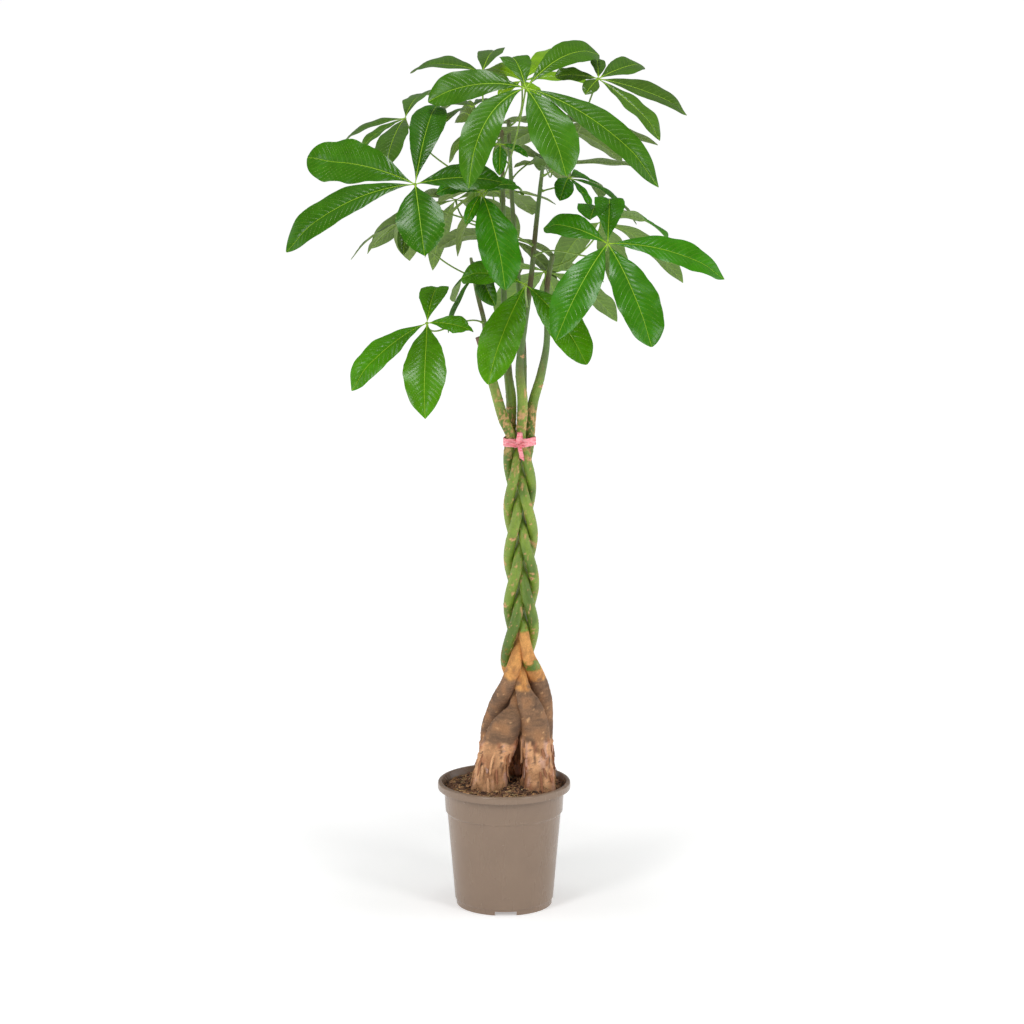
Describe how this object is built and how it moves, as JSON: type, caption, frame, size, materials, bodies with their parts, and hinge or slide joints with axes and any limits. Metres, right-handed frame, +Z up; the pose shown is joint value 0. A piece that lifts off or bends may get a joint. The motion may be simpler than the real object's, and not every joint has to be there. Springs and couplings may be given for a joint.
{
  "type": "potted money tree",
  "caption": "Money tree with a plaited trunk and palmate leaves, tied with tape and growing in bark soil in a round tapered plastic nursery pot",
  "frame": {"origin": "on the floor under the middle of the plant's outline, which is within a few millimetres of the pot's own axis", "axes": "+Z up along the pot's axis, -Y towards the front of the plant, +X to its right"},
  "size_m": [0.6041, 0.5751, 1.2344],
  "materials": {
    "pot": "satin",
    "soil": "rough",
    "bark": "matte",
    "leaf": "waxy",
    "tape": "satin"
  },
  "bodies": {
    "root": {"pot": "pot", "soil": "soil", "tie_band": "tape", "tie_knot": "tape", "trunk_back_shoot": "bark", "trunk_right": "bark", "trunk_centre": "bark", "trunk_middle_left": "bark", "trunk_left": "bark", "leaf_crown": "leaf", "leaf_crown_right": "leaf", "leaf_crown_left": "leaf", "leaf_far_left": "leaf", "leaf_left": "leaf", "leaf_middle": "leaf", "leaf_right": "leaf", "leaf_right_rear": "leaf", "leaf_inner_right": "leaf", "leaf_back_right": "leaf", "leaf_back_upper": "leaf", "leaf_low_middle": "leaf", "leaf_low_left": "leaf", "leaf_outer_left": "leaf", "leaf_small_far": "leaf", "leaf_hanging": "leaf", "leaf_bud": "leaf", "leaf_lime_top": "leaf", "leaf_pale_left": "leaf", "leaf_inner_low": "leaf", "leaf_inner_pale": "leaf", "leaf_small_low": "leaf", "leaf_rear_high": "leaf", "leaf_rear_left": "leaf", "leaf_rear_low": "leaf"}
  },
  "joints": []
}
